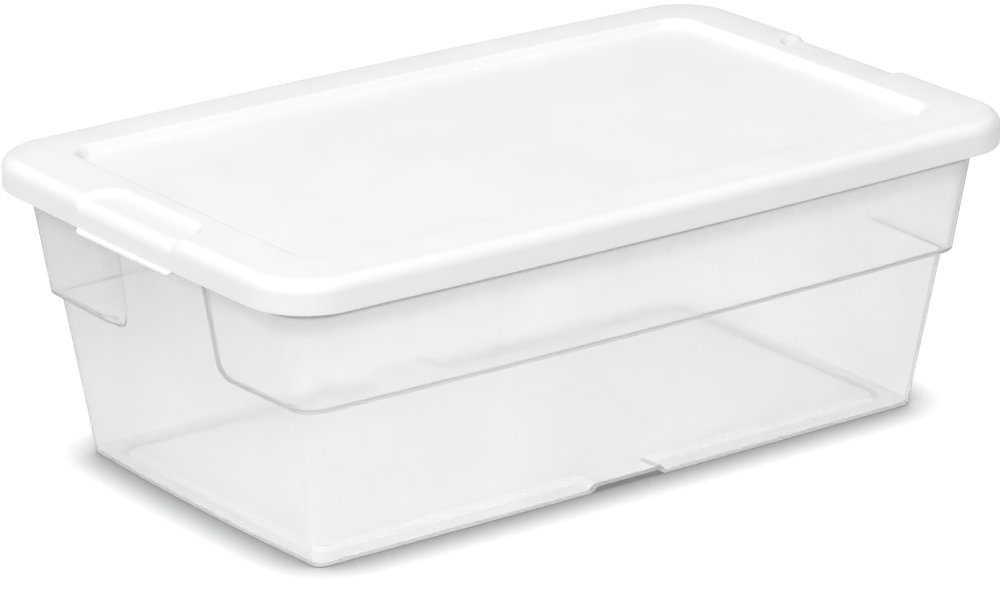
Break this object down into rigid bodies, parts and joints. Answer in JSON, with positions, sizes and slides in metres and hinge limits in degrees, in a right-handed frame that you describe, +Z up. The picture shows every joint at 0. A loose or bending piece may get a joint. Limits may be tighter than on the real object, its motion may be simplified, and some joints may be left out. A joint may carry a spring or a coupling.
{
  "type": "lidded storage box",
  "caption": "Shallow clear plastic storage box with a white lift-off lid; tapered tub with a stepped shoulder, finger recesses at the ends and a sunk lid panel for stacking.",
  "frame": {"origin": "middle of the footprint, on the surface the box stands on", "axes": "+X along the long sides, towards one short end; +Y towards a long side; +Z up"},
  "size_m": [0.3512, 0.2104, 0.1208],
  "materials": {
    "clear_plastic": "see-through polypropylene, smooth moulded walls with a slight haze",
    "white_plastic": "satin, fine moulded texture"
  },
  "bodies": {
    "tub": {"tub": "clear_plastic"},
    "lid": {"lid": "white_plastic"}
  },
  "joints": [
    {"name": "lid_lift", "type": "slide", "parent": "tub", "child": "lid", "axis": [0, 0, 1], "range_m": [0, 0.15]}
  ]
}
